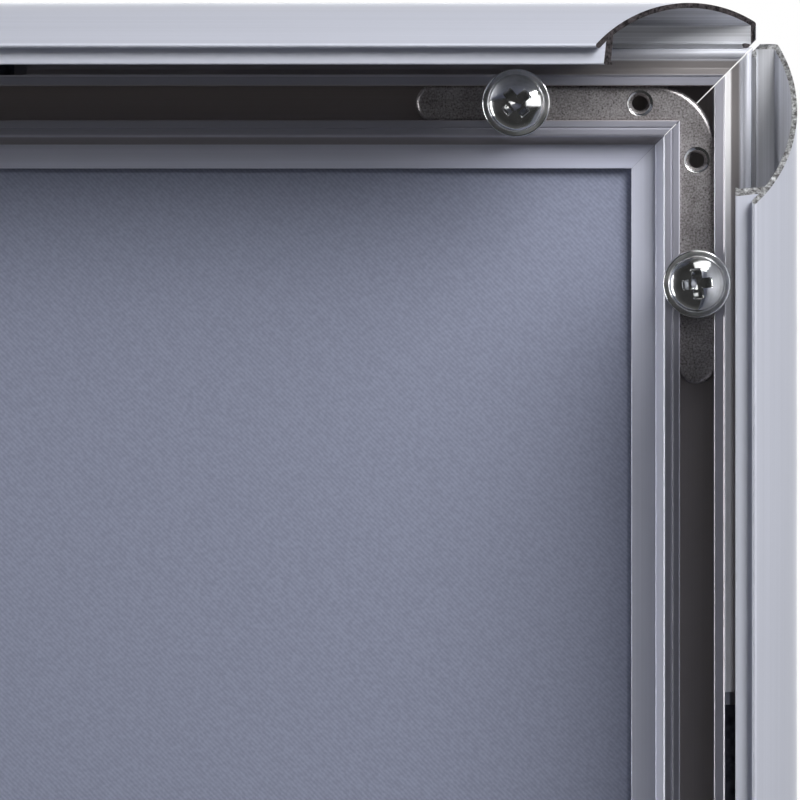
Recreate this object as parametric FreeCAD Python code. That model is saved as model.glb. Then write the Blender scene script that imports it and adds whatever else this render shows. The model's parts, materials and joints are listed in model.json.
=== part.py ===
import FreeCAD
import Part
import math
import os

# All sizes are in millimetres.
# X is the width, Z is up and the front faces -Y. The back lies on the plane y = 0.
# A section is drawn in two measures: inset, counted inwards from the outer face of the closed
# frame, and height, counted forwards from the back.

# Poster that the frame is made for
poster_width = 297.0
poster_height = 420.0
poster_play = 0.5

# Hinge between base rail and snap rail
bead_radius = 0.9
hook_clearance = 0.1
hook_wall = 0.65
hook_front_angle = 110.0
hook_stop_angle = 5.5
neck_above_axis = 0.5
neck_below_axis = 0.2
open_angle = 88.0

# Base rail, from its outer edge inwards
base_setback = 0.5
pocket_wall = 0.8
pocket_gap = 0.65
spring_groove = 1.45
flank_run = 0.8
outer_lip = 1.8
slot_width = 5.25
inner_lip = 2.45
stop_slope = 1.2
flange_reach = 3.75
lip_thickness = 1.2
lip_line_depth = 0.15
lip_line_width = 0.4
rib_width = 0.35
rib_rise = 0.15
channel_wall = 0.9
panel_wall = 1.2
back_web = 1.2
flange_thickness = 1.0
edge_round = 0.3

# Back panel in its groove
panel_thickness = 2.0
panel_side_play = 0.5
panel_back_play = 0.1
panel_front_play = 0.2

# Corner bracket in the channel
bracket_thickness = 2.0
bracket_lap = 0.45
bracket_play = 0.15
bracket_leg = 46.3
bracket_corner_radius = 10.5
first_hole = 11.8
hole_pitch = 19.1
hole_radius = 1.8
hole_chamfer = 0.25

# Collar screw
thread_clearance = 0.05
screw_length = 6.0
screw_tip_gap = 0.2
collar_radius = 5.25
collar_thickness = 0.6
head_radius = 4.3
head_height = 2.9
head_round = 1.0
dome_radius = 6.5
recess_span = 4.7
recess_floor_span = 2.6
recess_width = 1.15
recess_depth = 1.8

# Leaf springs behind the hinge and the windows over them
spring_thickness = 0.4
spring_length = 100.0
spring_side_play = 0.25
spring_room = 2.45
spring_gap = 0.15
window_length = 108.0
window_margin = 0.35
spring_spacing = 148.0

# Snap rail
rail_width = 25.0
cover_wall = 0.8
head_room = 2.05
sheet_gap = 0.5
tip_rise = 3.2
shoulder_rise = 3.15
shoulder_round = 0.6
leg_thickness = 1.1
leg_inset = 1.5
leg_lean = 0.4
foot_flare = 0.35
foot_flare_height = 0.5

# Mitres and wall holes
base_mitre_gap = 0.12
rail_mitre_gap = 0.15
wall_hole_radius = 2.25
wall_hole_spacing = 180.0

# Insets that follow from the sizes above
hook_inner_radius = bead_radius + hook_clearance
hook_outer_radius = hook_inner_radius + hook_wall
hook_neck_angle = math.degrees(math.asin(neck_below_axis / hook_inner_radius))
hook_back_angle = open_angle - 180 + hook_neck_angle + hook_stop_angle
hinge_inset = hook_outer_radius
flank_foot = hinge_inset + bead_radius + spring_groove
lip_outer_edge = flank_foot + flank_run
slot_outer_edge = lip_outer_edge + outer_lip
slot_inner_edge = slot_outer_edge + slot_width
lip_inner_edge = slot_inner_edge + inner_lip
poster_stop = lip_inner_edge + stop_slope
flange_edge = poster_stop + flange_reach
screw_line = (slot_outer_edge + slot_inner_edge) / 2
bracket_half = slot_width / 2 + bracket_lap
bracket_inner_radius = 2 * bracket_play
channel_outer = screw_line - bracket_half - bracket_play
channel_inner = screw_line + bracket_half + bracket_play
pocket_outer = base_setback + pocket_wall
pocket_inner = channel_outer - channel_wall
groove_end = channel_inner + panel_wall
panel_edge = groove_end + panel_side_play
leg_inner = rail_width - leg_inset
leg_outer = leg_inner - leg_thickness

# Heights that follow from the sizes above
hinge_height = back_web + spring_room + hook_outer_radius
pocket_wall_height = back_web + spring_room - pocket_gap
panel_back = back_web + panel_back_play
panel_front = panel_back + panel_thickness
flange_back = panel_front + panel_front_play
flange_front = flange_back + flange_thickness
lip_front = back_web + screw_tip_gap + screw_length
lip_back = lip_front - lip_thickness
bracket_back = lip_back - bracket_thickness
foot_height = panel_front + sheet_gap
tip_height = foot_height + tip_rise
shoulder_height = tip_height + shoulder_rise
cover_height = lip_front + head_height + head_room + cover_wall

# Outer size of the closed frame
frame_width = poster_width + 2 * poster_play + 2 * poster_stop
frame_height = poster_height + 2 * poster_play + 2 * poster_stop

# Each side: turn about Y, length, distance of its outer face from the middle, spring places
sides = {
    "top": (0, frame_width, frame_height / 2, [0.0]),
    "right": (90, frame_height, frame_width / 2, [spring_spacing / 2, -spring_spacing / 2]),
    "bottom": (180, frame_width, frame_height / 2, [0.0]),
    "left": (270, frame_height, frame_width / 2, [spring_spacing / 2, -spring_spacing / 2]),
}
middle = FreeCAD.Vector(0, 0, 0)
across = FreeCAD.Vector(1, 0, 0)
forward = FreeCAD.Vector(0, -1, 0)
turn_axis = FreeCAD.Vector(0, 1, 0)


def section_point(inset, height, offset, along):
    """A point of the top side: along X, inwards from its outer face, forwards from the back."""
    return FreeCAD.Vector(along, -height, offset - inset)


def section_face(steps, offset, along):
    """A flat closed section: two numbers are the next corner, four an arc through a point to it."""
    edges = []
    last = section_point(*steps[0], offset, along)
    first = last
    for step in steps[1:]:
        if len(step) == 4:
            through = section_point(step[0], step[1], offset, along)
            end = section_point(step[2], step[3], offset, along)
            edges.append(Part.Arc(last, through, end).toShape())
        else:
            end = section_point(*step, offset, along)
            edges.append(Part.LineSegment(last, end).toShape())
        last = end
    if last.distanceToPoint(first) > 1e-6:
        edges.append(Part.LineSegment(last, first).toShape())
    return Part.Face(Part.Wire(edges))


def around_hinge(radius, angle):
    """Inset and height of a point about the hinge axis; 0 is outwards and 90 is forwards."""
    turn = math.radians(angle)
    return hinge_inset - radius * math.cos(turn), hinge_height + radius * math.sin(turn)


def block(inset_from, inset_to, height_from, height_to, along_from, along_to, offset):
    """A box on the top side between the given insets, heights and places along it."""
    size = (along_to - along_from, height_to - height_from, inset_to - inset_from)
    return Part.makeBox(*size, FreeCAD.Vector(along_from, -height_to, offset - inset_to))


def mitred(shape, length, offset, gap):
    """Keep what lies between the two mitre planes of a side."""
    reach = 2 * rail_width
    points = []
    for inset, sign in ((-reach, -1), (-reach, 1), (reach, 1), (reach, -1)):
        points.append(FreeCAD.Vector(sign * (length / 2 - inset - gap), reach, offset - inset))
    wedge = Part.Face(Part.makePolygon(points + points[:1])).extrude(forward * 2 * reach)
    return shape.common(wedge)


def placed(shape, angle):
    """Turn a shape made for the top side to its own side."""
    turned = shape.copy()
    turned.rotate(middle, turn_axis, angle)
    return turned


def base_rail(length, offset, spring_places, hole_places):
    """Extruded base: panel groove, poster stop, bracket channel, hinge bead and spring pocket."""
    along = -length / 2
    line_middle = (slot_inner_edge + lip_inner_edge) / 2
    rib_edge = lip_outer_edge + rib_width
    rib_foot = lip_front - rib_rise
    neck_top_angle = 180 - math.degrees(math.asin(neck_above_axis / bead_radius))
    neck_back_angle = -180 + math.degrees(math.asin(neck_below_axis / bead_radius))
    neck_top = around_hinge(bead_radius, neck_top_angle)
    neck_back = around_hinge(bead_radius, neck_back_angle)
    bead_outside = around_hinge(bead_radius, 0)
    corner = edge_round * (1 - math.sqrt(0.5))
    steps = [
        (base_setback, 0),
        (flange_edge, 0),
        (flange_edge, back_web),
        (groove_end, back_web),
        (groove_end, flange_back),
        (flange_edge, flange_back),
        (flange_edge, flange_front - edge_round),
        (flange_edge - corner, flange_front - corner, flange_edge - edge_round, flange_front),
        (poster_stop, flange_front),
        (lip_inner_edge, lip_front - edge_round),
        (lip_inner_edge - corner, lip_front - corner, lip_inner_edge - edge_round, lip_front),
        (line_middle + lip_line_width / 2, lip_front),
        (line_middle, lip_front - lip_line_depth),
        (line_middle - lip_line_width / 2, lip_front),
        (slot_inner_edge, lip_front),
        (slot_inner_edge, lip_back),
        (channel_inner, lip_back),
        (channel_inner, back_web),
        (channel_outer, back_web),
        (channel_outer, lip_back),
        (slot_outer_edge, lip_back),
        (slot_outer_edge, rib_foot),
        (rib_edge + rib_rise, rib_foot),
        (rib_edge, lip_front),
        (lip_outer_edge, lip_front),
        (flank_foot, neck_top[1]),
        neck_top,
        (*bead_outside, *neck_back),
        (pocket_inner, neck_back[1]),
        (pocket_inner, back_web),
        (pocket_outer, back_web),
        (pocket_outer, pocket_wall_height),
        (base_setback, pocket_wall_height),
    ]
    rail = section_face(steps, offset, along).extrude(across * length)
    rail = mitred(rail, length, offset, base_mitre_gap)
    window_outer = hinge_inset + bead_radius + window_margin
    window_back = neck_back[1] - neck_below_axis
    window_front = lip_front + lip_thickness
    for place in spring_places:
        ends = (place - window_length / 2, place + window_length / 2)
        rail = rail.cut(block(window_outer, lip_outer_edge, window_back, window_front, *ends, offset))
    for place in hole_places:
        start = section_point(screw_line, -back_web, offset, place)
        rail = rail.cut(Part.makeCylinder(wall_hole_radius, 3 * back_web, start, forward))
    return rail


def circle_through(first, second, third):
    """Centre and radius of the circle through three points of a section."""
    points = [FreeCAD.Vector(inset, height, 0) for inset, height in (first, second, third)]
    circle = Part.Circle(*points)
    return (circle.Center.x, circle.Center.y), circle.Radius


def snap_rail(length, offset):
    """Sprung cover rail, drawn closed, mitred, then swung open about its hook."""
    along = -length / 2
    tip = (rail_width, tip_height)
    over_screws = (screw_line, cover_height)
    centre, outer_radius = circle_through(tip, over_screws, (0, shoulder_height))
    inner_radius = outer_radius - cover_wall

    def on_arc(radius, inset):
        """Point at an inset on a circle about the centre of the cover."""
        return inset, centre[1] + math.sqrt(radius ** 2 - (inset - centre[0]) ** 2)

    def out_from_centre(radius, point):
        """Point of a circle about the centre of the cover, in line with a given point."""
        scale = radius / math.hypot(point[0] - centre[0], point[1] - centre[1])
        return centre[0] + scale * (point[0] - centre[0]), centre[1] + scale * (point[1] - centre[1])

    tip_inner = out_from_centre(inner_radius, tip)
    tip_turn = cover_wall / 2 / outer_radius
    tip_middle = out_from_centre(outer_radius - cover_wall / 2, tip)
    tip_end = (tip_middle[0] + tip_turn * (tip[1] - centre[1]),
               tip_middle[1] - tip_turn * (tip[0] - centre[0]))
    round_centre = on_arc(outer_radius - shoulder_round, shoulder_round)
    round_on_arc = out_from_centre(outer_radius, round_centre)
    round_turn = math.atan2(round_centre[1] - centre[1], centre[0] - round_centre[0]) / 2
    round_middle = (round_centre[0] - shoulder_round * math.cos(round_turn),
                    round_centre[1] + shoulder_round * math.sin(round_turn))
    wall_angle = math.degrees(math.acos((hinge_inset - cover_wall) / hook_outer_radius))
    inner_middle = on_arc(inner_radius, (cover_wall + leg_outer) / 2)
    inner_tip_middle = on_arc(inner_radius, (leg_inner + tip_inner[0]) / 2)
    leg_length = on_arc(inner_radius, leg_outer)[1] - foot_height
    flare_lean = leg_lean * (1 - foot_flare_height / leg_length)
    hook_middle_angle = (hook_back_angle + hook_front_angle) / 2
    hook_front_middle = around_hinge(hook_outer_radius, (hook_front_angle + wall_angle) / 2)
    steps = [
        tip,
        (*over_screws, *round_on_arc),
        (*round_middle, 0, round_centre[1]),
        around_hinge(hook_outer_radius, 0),
        (*around_hinge(hook_outer_radius, hook_back_angle / 2),
         *around_hinge(hook_outer_radius, hook_back_angle)),
        around_hinge(hook_inner_radius, hook_back_angle),
        (*around_hinge(hook_inner_radius, hook_middle_angle),
         *around_hinge(hook_inner_radius, hook_front_angle)),
        around_hinge(hook_outer_radius, hook_front_angle),
        (*hook_front_middle, *around_hinge(hook_outer_radius, wall_angle)),
        on_arc(inner_radius, cover_wall),
        (*inner_middle, *on_arc(inner_radius, leg_outer)),
        (leg_outer + flare_lean, foot_height + foot_flare_height),
        (leg_outer + leg_lean - foot_flare, foot_height),
        (leg_inner + leg_lean, foot_height),
        on_arc(inner_radius, leg_inner),
        (*inner_tip_middle, *tip_inner),
        (*tip_end, *tip),
    ]
    rail = section_face(steps, offset, along).extrude(across * length)
    rail = mitred(rail, length, offset, rail_mitre_gap)
    rail.rotate(section_point(hinge_inset, hinge_height, offset, 0), across, -open_angle)
    return mitred(rail, length, offset, rail_mitre_gap)


def leaf_spring(offset, place):
    """Bowed strip of spring steel: its ends lie on the base, its middle stands under the hook."""
    rise = spring_room - spring_gap - spring_thickness
    half = spring_length / 2
    radius = (half ** 2 + rise ** 2) / (2 * rise)
    outer = pocket_outer + spring_side_play
    inner = pocket_inner - spring_side_play
    thick_half = half * (radius + spring_thickness) / radius
    thick_drop = (radius + spring_thickness) * (radius - rise) / radius - (radius - rise)
    ends = [section_point(outer, back_web, offset, place - half),
            section_point(outer, back_web + rise, offset, place),
            section_point(outer, back_web, offset, place + half),
            section_point(outer, back_web + thick_drop, offset, place + thick_half),
            section_point(outer, back_web + rise + spring_thickness, offset, place),
            section_point(outer, back_web + thick_drop, offset, place - thick_half)]
    edges = [Part.Arc(ends[0], ends[1], ends[2]).toShape(),
             Part.LineSegment(ends[2], ends[3]).toShape(),
             Part.Arc(ends[3], ends[4], ends[5]).toShape(),
             Part.LineSegment(ends[5], ends[0]).toShape()]
    return Part.Face(Part.Wire(edges)).extrude(FreeCAD.Vector(0, 0, outer - inner))


def corner_places(sign_x, sign_z):
    """Screw line corner of one frame corner and the two directions along its legs."""
    half_width = frame_width / 2 - screw_line
    half_height = frame_height / 2 - screw_line
    corner = FreeCAD.Vector(sign_x * half_width, 0, sign_z * half_height)
    return corner, FreeCAD.Vector(-sign_x, 0, 0), FreeCAD.Vector(0, 0, -sign_z)


def corner_bracket(sign_x, sign_z):
    """Flat angle plate with rounded ends and two tapped holes in each leg."""
    corner, first, second = corner_places(sign_x, sign_z)
    plate = None
    for leg, side in ((first, second), (second, first)):
        start = corner - leg * bracket_half - side * bracket_half
        reach = bracket_leg - bracket_half
        points = [start, start + leg * reach, start + leg * reach + side * 2 * bracket_half,
                  start + side * 2 * bracket_half]
        strip = Part.Face(Part.makePolygon(points + points[:1])).extrude(forward * bracket_thickness)
        end_centre = corner + leg * (reach - bracket_half)
        strip = strip.fuse(Part.makeCylinder(bracket_half, bracket_thickness, end_centre, forward))
        plate = strip if plate is None else plate.fuse(strip)
    plate = plate.removeSplitter()
    outer = corner - first * bracket_half - second * bracket_half
    inner = corner + first * bracket_half + second * bracket_half
    rounds = ((outer, bracket_corner_radius), (inner, bracket_inner_radius))
    for point, radius in rounds:
        edges = [edge for edge in plate.Edges if edge.Length < bracket_thickness + 1e-6
                 and math.hypot(edge.CenterOfMass.x - point.x, edge.CenterOfMass.z - point.z) < 1e-4]
        plate = plate.makeFillet(radius, edges)
    for leg in (first, second):
        for place in (first_hole, first_hole + hole_pitch):
            centre = corner + leg * (place - bracket_half)
            wide = hole_radius + hole_chamfer
            front = centre + forward * (bracket_thickness - hole_chamfer)
            plate = plate.cut(Part.makeCylinder(hole_radius, bracket_thickness, centre, forward))
            plate = plate.cut(Part.makeCone(hole_radius, wide, hole_chamfer, front, forward))
            plate = plate.cut(Part.makeCone(wide, hole_radius, hole_chamfer, centre, forward))
    plate.translate(forward * bracket_back)
    return plate


def screw_profile():
    """Half outline of a screw: dome, rounded edge, collar with a round rim, plain shank."""
    def spot(radius, height):
        return FreeCAD.Vector(radius, height, 0)

    dome_base = head_height - dome_radius
    round_inset = head_radius - head_round
    round_height = dome_base + math.sqrt((dome_radius - head_round) ** 2 - round_inset ** 2)
    turn = math.atan2(round_inset, round_height - dome_base)
    half_turn = (turn + math.pi / 2) / 2
    rim = collar_thickness / 2
    rim_middle = rim * math.sqrt(0.5)
    shank_radius = hole_radius - thread_clearance
    top = spot(0, head_height)
    meet = spot(dome_radius * math.sin(turn), dome_base + dome_radius * math.cos(turn))
    dome_middle = spot(dome_radius * math.sin(turn / 2), dome_base + dome_radius * math.cos(turn / 2))
    round_middle = spot(round_inset + head_round * math.sin(half_turn),
                        round_height + head_round * math.cos(half_turn))
    wall = [spot(head_radius, round_height), spot(head_radius, collar_thickness),
            spot(collar_radius - rim, collar_thickness)]
    rim_arc = [spot(collar_radius - rim + rim_middle, rim + rim_middle), spot(collar_radius, rim)]
    below = [rim_arc[1], spot(collar_radius, 0), spot(shank_radius, 0),
             spot(shank_radius, -screw_length), spot(0, -screw_length), top]
    edges = [Part.Arc(top, dome_middle, meet).toShape(), Part.Arc(meet, round_middle, wall[0]).toShape()]
    edges += [Part.LineSegment(*pair).toShape() for pair in zip(wall, wall[1:])]
    edges.append(Part.Arc(wall[-1], *rim_arc).toShape())
    edges += [Part.LineSegment(*pair).toShape() for pair in zip(below, below[1:])]
    return Part.Face(Part.Wire(edges))


def collar_screw(centre, recess_angle):
    """Domed head on a round collar with a tapered cross recess and a plain shank."""
    screw = screw_profile().revolve(middle, turn_axis, 360)
    half_floor = recess_floor_span / 2
    half_mouth = recess_span - half_floor
    floor = head_height - recess_depth
    mouth = head_height + recess_depth
    corners = ((-half_floor, floor), (half_floor, floor), (half_mouth, mouth), (-half_mouth, mouth))
    outline = [FreeCAD.Vector(half, height, -recess_width / 2) for half, height in corners]
    arm = Part.Face(Part.makePolygon(outline + outline[:1])).extrude(FreeCAD.Vector(0, 0, recess_width))
    for arm_angle in (0, 90):
        turned = arm.copy()
        turned.rotate(middle, turn_axis, arm_angle)
        screw = screw.cut(turned)
    screw.rotate(middle, turn_axis, recess_angle)
    screw.rotate(middle, across, 180)
    screw.translate(centre + forward * lip_front)
    return screw


def back_panel():
    """Flat sheet held all round in the groove of the base rails."""
    width = frame_width - 2 * panel_edge
    height = frame_height - 2 * panel_edge
    return Part.makeBox(width, panel_thickness, height, FreeCAD.Vector(-width / 2, -panel_front, -height / 2))


os.makedirs("parts", exist_ok=True)
nodes = {"back_panel": back_panel()}

for side, (angle, length, offset, spring_places) in sides.items():
    upright = side in ("left", "right")
    hole_places = [-wall_hole_spacing / 2, wall_hole_spacing / 2] if upright else []
    nodes["base_rail_" + side] = placed(base_rail(length, offset, spring_places, hole_places), angle)
    nodes["snap_rail_" + side] = placed(snap_rail(length, offset), angle)
    for place in spring_places:
        spring = placed(leaf_spring(offset, place), angle)
        ending = side
        if upright:
            ending = side + ("_upper" if spring.CenterOfMass.z > 0 else "_lower")
        nodes["leaf_spring_" + ending] = spring

for high, sign_z in (("top", 1), ("bottom", -1)):
    for wide, sign_x in (("left", -1), ("right", 1)):
        corner, first, second = corner_places(sign_x, sign_z)
        reach = first_hole + hole_pitch - bracket_half
        screws = [collar_screw(corner + first * reach, 45), collar_screw(corner + second * reach, 0)]
        nodes["corner_bracket_" + high + "_" + wide] = corner_bracket(sign_x, sign_z)
        nodes["bracket_screws_" + high + "_" + wide] = Part.makeCompound(screws)

for name, shape in nodes.items():
    shape.exportStep("parts/" + name + ".step")
    box = shape.BoundBox
    print(name, len(shape.Solids), round(shape.Volume, 1), shape.isValid(),
          [round(v, 2) for v in (box.XMin, box.XMax, box.YMin, box.YMax, box.ZMin, box.ZMax)])
print("frame", frame_width, frame_height, "hinge", hinge_inset, hinge_height, "holes", screw_line)
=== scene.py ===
import json
import math
from collections import namedtuple

import bmesh
import bpy
import numpy as np
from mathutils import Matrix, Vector


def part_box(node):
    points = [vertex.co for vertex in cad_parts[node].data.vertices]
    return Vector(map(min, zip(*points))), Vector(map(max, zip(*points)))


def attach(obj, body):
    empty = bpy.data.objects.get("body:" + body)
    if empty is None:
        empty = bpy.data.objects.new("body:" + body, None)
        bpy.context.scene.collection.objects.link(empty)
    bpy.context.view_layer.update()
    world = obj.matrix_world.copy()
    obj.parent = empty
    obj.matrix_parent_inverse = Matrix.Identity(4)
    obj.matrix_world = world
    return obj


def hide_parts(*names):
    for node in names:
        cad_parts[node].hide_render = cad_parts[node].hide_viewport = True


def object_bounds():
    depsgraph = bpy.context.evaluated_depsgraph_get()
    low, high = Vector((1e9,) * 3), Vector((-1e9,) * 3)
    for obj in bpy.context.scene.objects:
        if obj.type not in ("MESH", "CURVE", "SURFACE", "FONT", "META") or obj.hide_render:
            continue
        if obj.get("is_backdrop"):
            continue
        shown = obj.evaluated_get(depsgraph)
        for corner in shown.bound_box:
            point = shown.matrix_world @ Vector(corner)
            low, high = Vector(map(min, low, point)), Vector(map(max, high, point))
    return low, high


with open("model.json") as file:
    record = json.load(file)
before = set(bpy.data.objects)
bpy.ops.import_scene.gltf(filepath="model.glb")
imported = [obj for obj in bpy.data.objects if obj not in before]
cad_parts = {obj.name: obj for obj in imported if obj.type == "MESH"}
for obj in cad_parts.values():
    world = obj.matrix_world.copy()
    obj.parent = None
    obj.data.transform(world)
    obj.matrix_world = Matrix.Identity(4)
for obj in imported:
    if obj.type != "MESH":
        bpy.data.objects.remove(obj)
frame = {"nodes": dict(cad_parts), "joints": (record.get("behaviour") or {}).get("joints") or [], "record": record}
cad_low, cad_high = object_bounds()
scene = bpy.context.scene

# Lengths are in millimetres, as on a drawing, and MM turns them into metres.
# A section has two measures: inset, counted inwards from the outer face of the closed frame,
# and height, counted forwards from the back. The front faces -Y.
MM = 0.001

# Base rail, from its outer edge inwards
base_setback = 0.5
pocket_wall = 0.8
pocket_wall_height = 3.0
bead_radius = 0.9
neck_above_axis = 0.5
neck_below_axis = 0.2
flank_foot = 4.0
lip_outer_edge = 4.8
rib_width = 0.2
rib_rise = 0.15
slot_outer_edge = 6.6
slot_inner_edge = 11.85
lip_inner_edge = 14.3
lip_thickness = 1.2
lip_line_width = 0.4
lip_line_depth = 0.15
poster_stop = 15.5
channel_wall = 0.9
channel_margin = 0.6
panel_wall = 1.2
panel_play = 0.2
back_web = 1.2
flange_thickness = 1.0
window_margin = 0.35
window_overrun = 2.15
mitre_gap_outside = 0.15
mitre_gap_inside = 0.02
wall_hole_patch = 6.0

# How far the rounding of a base rail's edges reaches from the corner
back_round = 0.2
hidden_round = 0.1
pocket_round = 0.15
flange_round = 0.1
stop_foot_round = 0.08
stop_round = 0.35
line_round = 0.06
line_floor_round = 0.05
slot_round = 0.22
rib_round = 0.08
lip_round = 0.12
flank_round = 0.3

# Snap rail
rail_width = 25.0
cover_wall = 0.8
cover_height = 13.15
shoulder_height = 10.15
shoulder_round = 0.6
tip_height = 7.0
leg_outer = 22.4
leg_inner = 23.5
leg_lean = 0.4
foot_height = 3.8
foot_flare = 0.35
foot_flare_height = 0.5
foot_round = 0.2
foot_inner_round = 0.25
hook_clearance = 0.1
hook_wall = 0.65
hook_front_angle = 110.0
hook_back_angle = -75.0
closed_mitre_gap = 0.05
open_mitre_gap = 0.65

# Corner bracket and its tapped holes
bracket_width = 6.15
bracket_corner_round = 10.5
bracket_inner_round = 0.3
bracket_edge_round = 0.85
first_hole = 11.8
second_hole = 30.9
hole_radius = 1.8
hole_chamfer = 0.2
empty_hole_taper = 0.55
thread_pitch = 0.7
thread_depth = 0.22

# Collar screw
collar_radius = 5.25
collar_thickness = 0.6
collar_fillet = 0.12
collar_rim_end = -60.0
head_radius = 4.3
head_height = 2.9
head_round = 1.0
dome_radius = 6.5
dome_base = head_height - dome_radius
recess_span = 4.7
wing_end = recess_span / 2
recess_floor_span = 2.6
recess_width = 1.4
recess_depth = 1.8
recess_edge = 0.1
recess_step = 0.03
recess_cone_radius = 0.95
recess_cone_depth = 0.35
recess_turn_across = 40.0
recess_turn_upright = 6.0
shank_radius = 1.75
shank_length = 6.0
shank_neck = 0.2
tip_narrowing = 0.45
tip_least_share = 0.4

# Leaf spring
spring_length = 100.0
spring_thickness = 0.4
spring_edge_share = 0.4

# Numbers of points
corner_points = 5
spring_points = 41
hole_levels = 29
hole_sides = 48
hole_turns = np.arange(hole_sides) / hole_sides * 2 * np.pi

# Colours
panel_colour = (0.262, 0.285, 0.385)
base_colour = (0.72, 0.735, 0.81)
cover_colour = (0.48, 0.497, 0.57)
inside_colour = (0.64, 0.65, 0.69)
floor_colour = (0.42, 0.42, 0.42)

# Shares of a base rail's colour: painted shade and painted light, by how light falls on each band
full_tone = (1.0, 1.0, 1.0)
# Painted shade on the lips, the inner lip's edge, the crevice by the bead, the poster stop's slope and the slot
# floors, where the open covers and the lips shade the rail
lip_shade_tone = (0.58, 0.57, 0.60)
half_shade_tone = (0.75, 0.73, 0.75)
crevice_shade_tone = (0.35, 0.32, 0.29)
channel_shade_tone = (0.6, 0.52, 0.46)
upright_channel_shade_tone = (0.95, 0.86, 0.76)
# Painted light on the flanges, standing in for fill light, and on the upright's outer slope, standing in for light
# bounced off the open cover
flange_light_tone = (1.06, 1.07, 1.18)
upright_flange_light_tone = (1.14, 1.15, 1.23)
slope_bounce_tone = (1.33, 1.3, 1.2)
# The painted tones hold fully on faces more than the full height forward of the back and end at the end height
tone_full_height = 1.1
tone_end_height = 0.4

# A wave texture goes through this angle in radians over one unit at a scale of 1.
wave_turns = 20.0
panel_grain_pitch = 0.55

# Studio: lamps, floor and room are in metres, the camera in millimetres
floor_reach = 1.5
floor_drop = 0.0005
floor_lightening = 0.35
room_fill = 0.04
room_dim = 0.035
dark_wall = 0.12
bright_wall = 0.2
wall_span = (-0.3, 0.9)
beside_span = (-0.5, -0.15)
behind_span = (0.5, 0.95)
image_pixels = 800
corner_pixel = (757.0, 43.0)
pixels_per_mm = 6.5
camera_distance = 1750.0
sensor_width = 36.0

# Sizes read from the frame
joints = {joint["name"]: joint for joint in frame["joints"]}
mounts = {mount["name"]: mount for mount in frame["record"]["mounts"]}


def node_box(node):
    """Lowest and highest corner of a node at rest, in millimetres."""
    low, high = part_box(node)
    return np.array(low) / MM, np.array(high) / MM


top_low, top_high = node_box("base_rail_top")
half_height = top_high[2] + base_setback
half_width = node_box("base_rail_right")[1][0] + base_setback
flange_edge = half_height - top_low[2]
lip_front = -top_low[1]
flange_back = panel_play - node_box("back_panel")[0][1]
hinge_place = joints["top_rail_hinge"]["pos_m"]
hinge_inset = half_height - hinge_place[2] / MM
hinge_height = -hinge_place[1] / MM
open_angle = math.radians(-joints["top_rail_hinge"]["range_deg"][0])
wall_holes = mounts["wall_holes"]["dims"]
screw_line = (slot_outer_edge + slot_inner_edge) / 2

# Sides: turn about Y, axis that it runs along, half length, distance of the outer face, springs
Side = namedtuple("Side", "angle along half_length offset springs")
across, upright = 0, 2
sides = {
    "top": Side(0, across, half_width, half_height, ["top"]),
    "right": Side(90, upright, half_height, half_width, ["right_upper", "right_lower"]),
    "bottom": Side(180, across, half_width, half_height, ["bottom"]),
    "left": Side(270, upright, half_height, half_width, ["left_upper", "left_lower"]),
}

# Bands of painted shade and painted light across a base rail: inset where each starts and ends, and its share of
# the colour
bead_inner_edge = 2.4
groove_outer_edge = 2.8
across_light_and_shade_bands = [
    (0, bead_inner_edge, full_tone),
    (groove_outer_edge, lip_outer_edge, crevice_shade_tone),
    (lip_outer_edge + 0.2, slot_outer_edge - 0.2, lip_shade_tone),
    (slot_outer_edge, slot_inner_edge - 0.05, channel_shade_tone),
    (slot_inner_edge + 0.25, lip_inner_edge - 0.3, lip_shade_tone),
    (lip_inner_edge, lip_inner_edge, half_shade_tone),
    (lip_inner_edge + 0.3, poster_stop, crevice_shade_tone),
    (poster_stop + 0.1, rail_width, flange_light_tone),
]
upright_light_and_shade_bands = [
    (0, bead_inner_edge, full_tone),
    (groove_outer_edge, flank_foot - 0.1, crevice_shade_tone),
    (flank_foot + 0.1, lip_outer_edge, slope_bounce_tone),
    (lip_outer_edge + 0.4, slot_outer_edge - 0.2, half_shade_tone),
    (slot_outer_edge - 0.1, slot_outer_edge - 0.1, full_tone),
    (slot_outer_edge + 0.1, slot_inner_edge - 0.05, upright_channel_shade_tone),
    (slot_inner_edge + 0.05, slot_inner_edge + 0.05, full_tone),
    (slot_inner_edge + 0.25, lip_inner_edge - 0.3, lip_shade_tone),
    (lip_inner_edge - 0.1, lip_inner_edge - 0.1, full_tone),
    (poster_stop + 0.1, rail_width, upright_flange_light_tone),
]


# Outlines

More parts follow.
